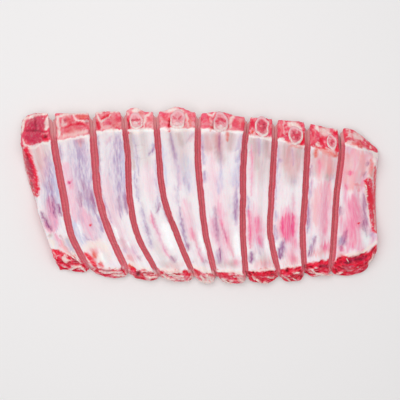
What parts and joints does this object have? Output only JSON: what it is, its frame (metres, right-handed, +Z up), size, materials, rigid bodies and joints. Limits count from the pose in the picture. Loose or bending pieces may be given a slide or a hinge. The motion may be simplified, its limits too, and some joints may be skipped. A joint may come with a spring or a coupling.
{
  "type": "raw pork spareribs",
  "caption": "Rack of raw pork spareribs cut between its ribs into slices that keep the rack's shape, lying bone side up; food prop or pan filling.",
  "frame": {"origin": "on the surface the rack lies on, under the middle of its outline", "axes": "+X along the rack from its leaning long end to its short squared end, +Y along the ribs from the brisket end to the sawn chine end, +Z up out of the bone side"},
  "size_m": [0.3237, 0.1577, 0.0303],
  "materials": {
    "meat": "moist raw meat: pale lavender membrane on top, pink-red lean and white fat at the cuts",
    "bone": "damp sawn rib bone, pale rim round red marrow"
  },
  "bodies": {
    "root": {"slice_01": "meat", "slice_02": "meat", "slice_03": "meat", "slice_04": "meat", "slice_05": "meat", "slice_06": "meat", "slice_07": "meat", "slice_08": "meat", "slice_09": "meat", "slice_10": "meat", "bone_01": "bone", "bone_02": "bone", "bone_03": "bone", "bone_04": "bone", "bone_05": "bone", "bone_06": "bone", "bone_07": "bone", "bone_08": "bone", "bone_09": "bone", "bone_10": "bone"}
  },
  "joints": []
}
